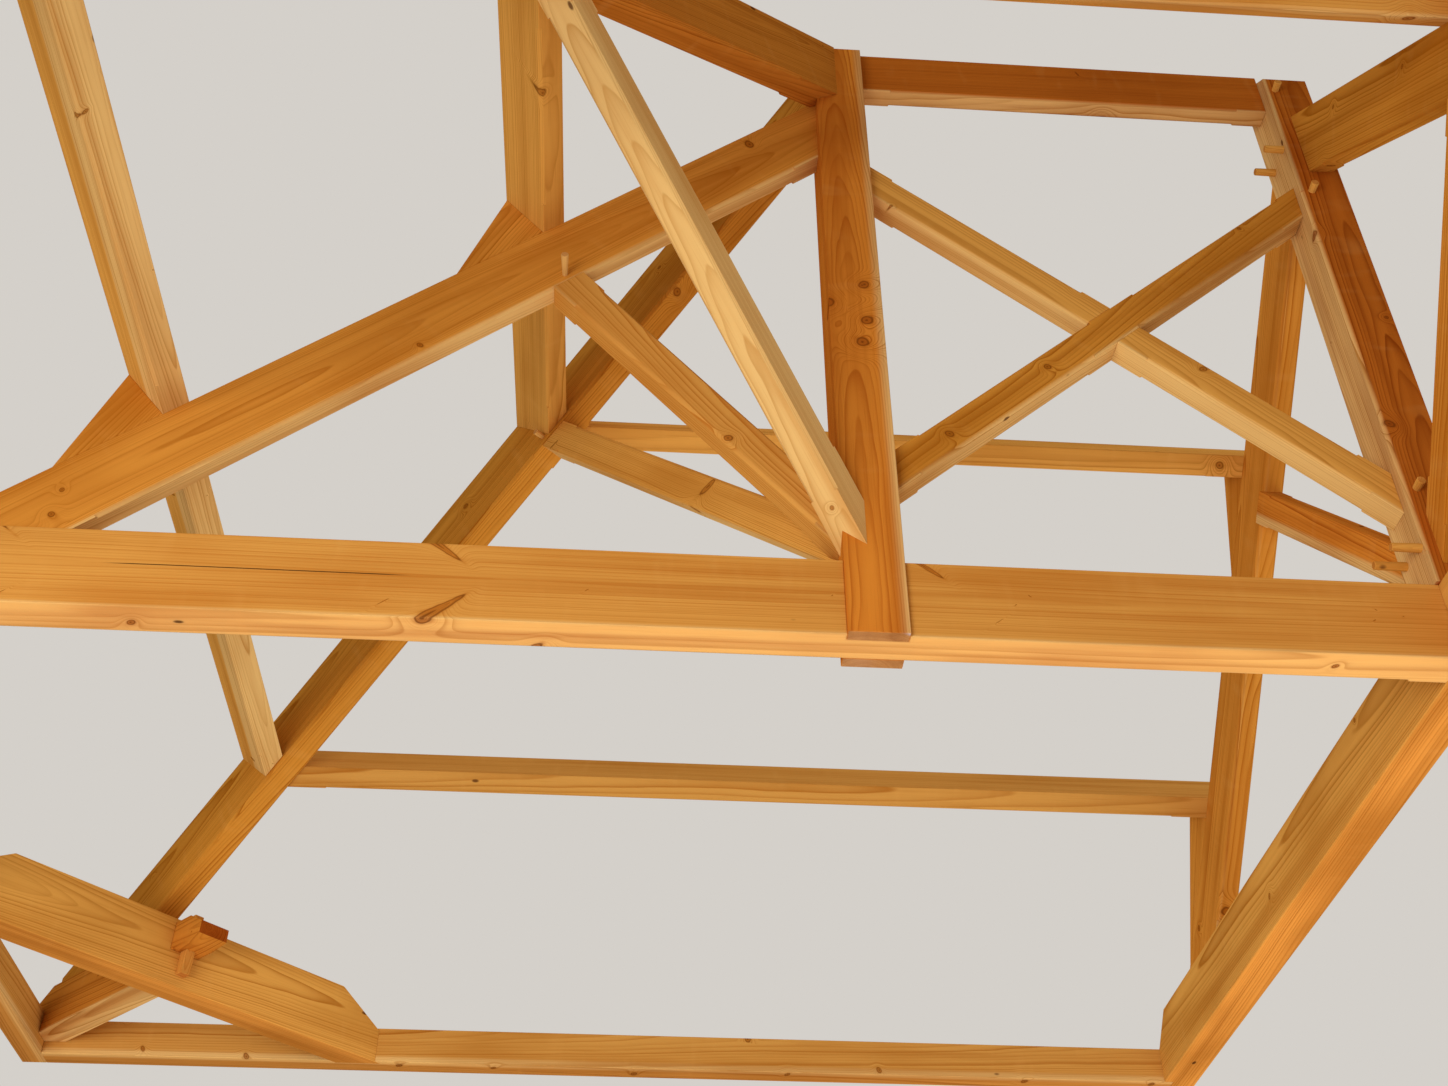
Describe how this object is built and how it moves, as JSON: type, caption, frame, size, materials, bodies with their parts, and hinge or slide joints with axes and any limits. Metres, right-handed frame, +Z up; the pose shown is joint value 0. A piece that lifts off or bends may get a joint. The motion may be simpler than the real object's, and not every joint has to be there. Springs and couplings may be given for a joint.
{
  "type": "timber roof truss",
  "caption": "Jointed timber roof truss with a hipped end: tie beams, king posts, rafters, struts, crossed braces and purlins, held by tenons, pegs and wedge keys.",
  "frame": {"origin": "axis of the king post, at the level of the undersides of the tie beams and wall plates", "axes": "+X along the ridge towards the gable truss, +Y across the roof, away from the camera, +Z up"},
  "size_m": [5.675, 7.186, 3.2257],
  "materials": {
    "tie_timber": "satin",
    "post_timber": "satin",
    "rafter_timber": "satin",
    "brace_timber": "satin",
    "plate_timber": "satin",
    "peg_timber": "satin"
  },
  "bodies": {
    "root": {"tie_beam": "tie_timber", "gable_tie_beam": "tie_timber", "corner_tie_far": "tie_timber", "corner_tie_near": "tie_timber", "king_post": "post_timber", "gable_king_post": "post_timber", "hip_principal_rafter": "rafter_timber", "hip_rafter_far": "rafter_timber", "hip_rafter_near": "rafter_timber", "gable_principal_far": "rafter_timber", "gable_principal_near": "rafter_timber", "ridge_beam": "rafter_timber", "upper_hip_purlin": "rafter_timber", "lower_hip_purlin": "rafter_timber", "upper_purlin_far": "rafter_timber", "upper_purlin_near": "rafter_timber", "lower_purlin_far": "rafter_timber", "lower_purlin_near": "rafter_timber", "purlin_cleats": "rafter_timber", "hip_principal_strut": "brace_timber", "hip_strut_far": "brace_timber", "hip_strut_near": "brace_timber", "cross_brace_front": "brace_timber", "cross_brace_back": "brace_timber", "gable_strut_far": "brace_timber", "gable_strut_near": "brace_timber", "wall_plate_far": "plate_timber", "wall_plate_near": "plate_timber", "wall_plate_hip": "plate_timber", "dragon_beam_far": "plate_timber", "dragon_beam_near": "plate_timber", "pegs": "peg_timber", "dragon_wedge_far": "peg_timber", "dragon_wedge_near": "peg_timber"}
  },
  "joints": []
}
